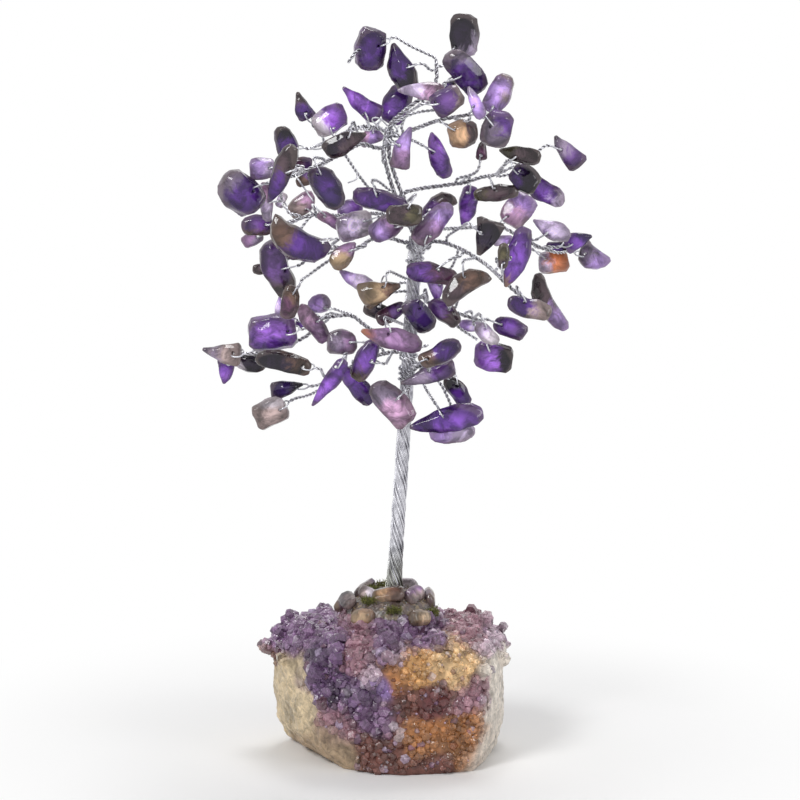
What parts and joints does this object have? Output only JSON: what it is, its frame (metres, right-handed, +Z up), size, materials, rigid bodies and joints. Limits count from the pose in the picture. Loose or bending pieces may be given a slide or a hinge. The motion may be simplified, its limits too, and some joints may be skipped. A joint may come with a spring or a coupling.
{
  "type": "gemstone tree ornament",
  "caption": "Small ornamental tree of twisted silver wire hung with drilled purple stone chips, standing in a rough crystal stone; every bough bends fore and aft at its root.",
  "frame": {"origin": "middle of the stone's flat underside", "axes": "+Z up along the tree, -Y to the front, towards the viewer of the picture, +X to the viewer's right"},
  "size_m": [0.1106, 0.0691, 0.198],
  "materials": {
    "quartz_rock": "rough natural rock under a crust of pale purple crystal points",
    "set_glue": "clear glossy glue, yellowed by what is under it",
    "foot_stone": "polished chips in tan, pink and mauve",
    "green_moss": "dry olive-green tufts",
    "silver_wire": "bright silvered craft wire",
    "dark_violet_stone": "polished, almost black purple",
    "violet_stone": "polished, half clear purple",
    "grey_violet_stone": "polished, cloudy grey purple",
    "lilac_stone": "polished, pale and half clear",
    "brown_stone": "polished, smoky brown and mauve"
  },
  "bodies": {
    "tree": {"stone_base": "quartz_rock", "glue_mound": "set_glue", "foot_chips": "foot_stone", "moss_tufts": "green_moss", "trunk_core": "silver_wire", "trunk_strands": "silver_wire", "leader_wires": "silver_wire", "trunk_twigs": "silver_wire", "trunk_chips": "grey_violet_stone", "leader_twigs": "silver_wire", "leader_chips": "violet_stone"},
    "top_bough": {"top_bough_wire": "silver_wire", "top_bough_twigs": "silver_wire", "top_bough_chips": "dark_violet_stone"},
    "top_right_bough": {"top_right_bough_wire": "silver_wire", "top_right_bough_twigs": "silver_wire", "top_right_bough_chips": "grey_violet_stone"},
    "upper_left_bough": {"upper_left_bough_wire": "silver_wire", "upper_left_bough_twigs": "silver_wire", "upper_left_bough_chips": "violet_stone"},
    "left_shoulder_bough": {"left_shoulder_bough_wire": "silver_wire", "left_shoulder_bough_twigs": "silver_wire", "left_shoulder_bough_chips": "dark_violet_stone"},
    "left_bough": {"left_bough_wire": "silver_wire", "left_bough_twigs": "silver_wire", "left_bough_chips": "lilac_stone"},
    "middle_left_bough": {"middle_left_bough_wire": "silver_wire", "middle_left_bough_twigs": "silver_wire", "middle_left_bough_chips": "dark_violet_stone"},
    "low_left_bough": {"low_left_bough_wire": "silver_wire", "low_left_bough_twigs": "silver_wire", "low_left_bough_chips": "lilac_stone"},
    "lower_left_bough": {"lower_left_bough_wire": "silver_wire", "lower_left_bough_twigs": "silver_wire", "lower_left_bough_chips": "dark_violet_stone"},
    "lower_right_bough": {"lower_right_bough_wire": "silver_wire", "lower_right_bough_twigs": "silver_wire", "lower_right_bough_chips": "violet_stone"},
    "low_right_bough": {"low_right_bough_wire": "silver_wire", "low_right_bough_twigs": "silver_wire", "low_right_bough_chips": "dark_violet_stone"},
    "middle_right_bough": {"middle_right_bough_wire": "silver_wire", "middle_right_bough_twigs": "silver_wire", "middle_right_bough_chips": "violet_stone"},
    "right_bough": {"right_bough_wire": "silver_wire", "right_bough_twigs": "silver_wire", "right_bough_chips": "brown_stone"},
    "upper_right_bough": {"upper_right_bough_wire": "silver_wire", "upper_right_bough_twigs": "silver_wire", "upper_right_bough_chips": "violet_stone"}
  },
  "joints": [
    {"name": "top_bough_bend", "type": "hinge", "parent": "tree", "child": "top_bough", "pos_m": [0.00043, 0, 0.16882], "axis": [0.8438, 0, -0.5367], "range_deg": [-8, 8]},
    {"name": "top_right_bough_bend", "type": "hinge", "parent": "tree", "child": "top_right_bough", "pos_m": [0.00162, -0.00053, 0.16681], "axis": [0.3218, 0, -0.9468], "range_deg": [-8, 8]},
    {"name": "upper_left_bough_bend", "type": "hinge", "parent": "tree", "child": "upper_left_bough", "pos_m": [-0.0013, 0.00081, 0.16805], "axis": [0.097, 0, 0.9953], "range_deg": [-8, 8]},
    {"name": "left_shoulder_bough_bend", "type": "hinge", "parent": "tree", "child": "left_shoulder_bough", "pos_m": [-0.00229, -0.00083, 0.16341], "axis": [-0.2628, 0, 0.9648], "range_deg": [-8, 8]},
    {"name": "left_bough_bend", "type": "hinge", "parent": "tree", "child": "left_bough", "pos_m": [0.00445, 0.00109, 0.14442], "axis": [-0.0434, 0, 0.9991], "range_deg": [-8, 8]},
    {"name": "middle_left_bough_bend", "type": "hinge", "parent": "tree", "child": "middle_left_bough", "pos_m": [0.00516, 0.0005, 0.13838], "axis": [-0.1764, 0, 0.9843], "range_deg": [-8, 8]},
    {"name": "low_left_bough_bend", "type": "hinge", "parent": "tree", "child": "low_left_bough", "pos_m": [0.00382, 0.00102, 0.11379], "axis": [-0.0587, 0, 0.9983], "range_deg": [-8, 8]},
    {"name": "lower_left_bough_bend", "type": "hinge", "parent": "tree", "child": "lower_left_bough", "pos_m": [0.00334, 0.00055, 0.10913], "axis": [-0.2202, 0, 0.9755], "range_deg": [-8, 8]},
    {"name": "lower_right_bough_bend", "type": "hinge", "parent": "tree", "child": "lower_right_bough", "pos_m": [0.00611, -0.00192, 0.10484], "axis": [-0.4876, 0, -0.8731], "range_deg": [-8, 8]},
    {"name": "low_right_bough_bend", "type": "hinge", "parent": "tree", "child": "low_right_bough", "pos_m": [0.00841, -0.00066, 0.12408], "axis": [-0.5333, 0, -0.8459], "range_deg": [-8, 8]},
    {"name": "middle_right_bough_bend", "type": "hinge", "parent": "tree", "child": "middle_right_bough", "pos_m": [0.00932, 0, 0.13694], "axis": [-0.2591, 0, -0.9659], "range_deg": [-8, 8]},
    {"name": "right_bough_bend", "type": "hinge", "parent": "tree", "child": "right_bough", "pos_m": [0.00668, 0.00114, 0.1435], "axis": [-0.21, 0, -0.9777], "range_deg": [-8, 8]},
    {"name": "upper_right_bough_bend", "type": "hinge", "parent": "tree", "child": "upper_right_bough", "pos_m": [0.00407, 0.00087, 0.15137], "axis": [0.1509, 0, -0.9886], "range_deg": [-8, 8]}
  ]
}
